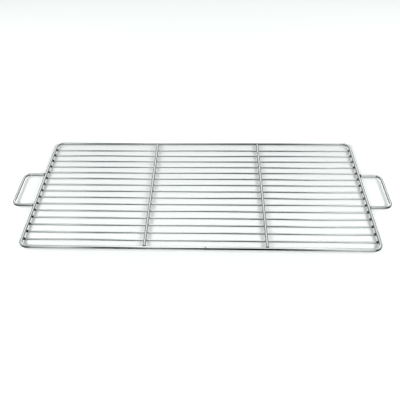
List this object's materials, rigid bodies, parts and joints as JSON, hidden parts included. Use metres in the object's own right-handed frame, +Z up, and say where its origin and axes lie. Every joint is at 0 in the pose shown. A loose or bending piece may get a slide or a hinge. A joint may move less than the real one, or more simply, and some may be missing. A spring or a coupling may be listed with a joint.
{
  "type": "barbecue cooking grate",
  "caption": "Flat welded wire cooking grate in a round-rod frame, with cross bars and a loop handle at each short end, for laying food over charcoal.",
  "frame": {"origin": "on the resting plane, under the middle of the frame", "axes": "+X along the grate from the left handle to the right handle, +Y across it, +Z up, with the wires underneath and the frame on top"},
  "size_m": [0.68, 0.2501, 0.0081],
  "materials": {
    "rod_steel": "polished stainless rod, smooth and bright, with faint drawing lines along it",
    "wire_steel": "polished stainless wire, smooth and bright, with faint drawing lines along it",
    "weld_steel": "cleaned weld metal, slightly rippled and darker than the rod"
  },
  "bodies": {
    "root": {"perimeter_frame": "rod_steel", "cross_bar_left": "rod_steel", "cross_bar_right": "rod_steel", "handle_left": "rod_steel", "handle_right": "rod_steel", "cooking_wire_01": "wire_steel", "cooking_wire_02": "wire_steel", "cooking_wire_03": "wire_steel", "cooking_wire_04": "wire_steel", "cooking_wire_05": "wire_steel", "cooking_wire_06": "wire_steel", "cooking_wire_07": "wire_steel", "cooking_wire_08": "wire_steel", "cooking_wire_09": "wire_steel", "cooking_wire_10": "wire_steel", "cooking_wire_11": "wire_steel", "cooking_wire_12": "wire_steel", "cooking_wire_13": "wire_steel", "cooking_wire_14": "wire_steel", "cooking_wire_15": "wire_steel", "frame_seam_weld": "weld_steel", "wire_end_welds_left": "weld_steel", "wire_end_welds_right": "weld_steel", "wire_to_bar_welds_left": "weld_steel", "wire_to_bar_welds_right": "weld_steel", "cross_bar_end_welds": "weld_steel", "handle_welds_left": "weld_steel", "handle_welds_right": "weld_steel"}
  },
  "joints": []
}
